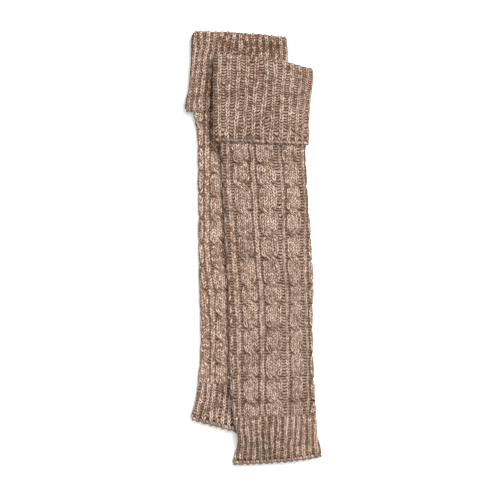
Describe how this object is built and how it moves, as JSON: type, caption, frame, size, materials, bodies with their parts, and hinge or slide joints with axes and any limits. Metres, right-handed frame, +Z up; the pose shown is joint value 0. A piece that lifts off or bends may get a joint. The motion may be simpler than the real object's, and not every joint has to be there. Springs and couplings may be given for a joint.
{
  "type": "pair of leg warmers",
  "caption": "Cable-knit leg warmers with turned-down ribbed cuffs and ribbed hems, pressed flat and laid down, one lying on the other.",
  "frame": {"origin": "centre of the footprint of the pair, at the height of the surface it lies on", "axes": "+Y along the tubes towards the turned-down cuffs, +X across them from the lower leg warmer towards the upper one, +Z up from the surface"},
  "size_m": [0.1454, 0.4606, 0.0269],
  "materials": {
    "front_cuff": "matte heathered beige rib knit",
    "front_leg": "matte heathered beige cable knit",
    "front_hem": "matte heathered beige rib knit",
    "rear_cuff": "matte heathered beige rib knit",
    "rear_leg": "matte heathered beige cable knit",
    "rear_hem": "matte heathered beige rib knit"
  },
  "bodies": {
    "root": {"front_cuff": "front_cuff", "front_leg": "front_leg", "front_hem": "front_hem", "rear_cuff": "rear_cuff", "rear_leg": "rear_leg", "rear_hem": "rear_hem"}
  },
  "joints": []
}
